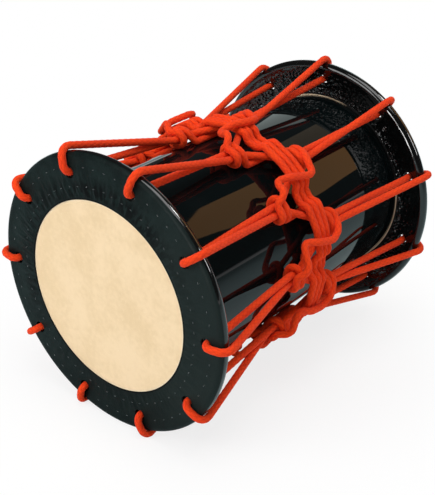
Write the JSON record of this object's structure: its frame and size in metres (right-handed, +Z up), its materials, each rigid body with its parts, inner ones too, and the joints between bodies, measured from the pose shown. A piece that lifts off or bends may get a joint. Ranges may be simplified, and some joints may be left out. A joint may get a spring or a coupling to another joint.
{
  "type": "rope-laced drum",
  "caption": "Stave drum with two hide heads lapped over iron hoops, held by a rope laced from head to head and gathered by a lashing round the waist.",
  "frame": {"origin": "on the floor, under the middle of the drum lying on its side", "axes": "+Y along the drum from the front head to the rear head, +Z up, the front head facing -Y"},
  "size_m": [0.3514, 0.441, 0.3516],
  "materials": {
    "shell_lacquer": "mirror-gloss black lacquer over wood",
    "hide": "bare cream hide, satin",
    "margin_lacquer": "satin black lacquer over hide",
    "hoop_iron": "black iron rod",
    "rope": "soft braided vermilion rope"
  },
  "bodies": {
    "root": {"stave_01": "shell_lacquer", "stave_02": "shell_lacquer", "stave_03": "shell_lacquer", "stave_04": "shell_lacquer", "stave_05": "shell_lacquer", "stave_06": "shell_lacquer", "stave_07": "shell_lacquer", "stave_08": "shell_lacquer", "stave_09": "shell_lacquer", "stave_10": "shell_lacquer", "front_hoop": "hoop_iron", "front_hide": "hide", "front_lacquer_margin": "margin_lacquer", "rear_hoop": "hoop_iron", "rear_hide": "hide", "rear_lacquer_margin": "margin_lacquer", "lacing_leg_01": "rope", "lacing_leg_02": "rope", "lacing_leg_03": "rope", "lacing_leg_04": "rope", "lacing_leg_05": "rope", "lacing_leg_06": "rope", "lacing_leg_07": "rope", "lacing_leg_08": "rope", "lacing_leg_09": "rope", "lacing_leg_10": "rope", "lacing_leg_11": "rope", "lacing_leg_12": "rope", "lacing_leg_13": "rope", "lacing_leg_14": "rope", "lacing_leg_15": "rope", "lacing_leg_16": "rope", "lacing_leg_17": "rope", "lacing_leg_18": "rope", "lacing_leg_19": "rope", "lacing_leg_20": "rope", "waist_lashing": "rope"}
  },
  "joints": []
}
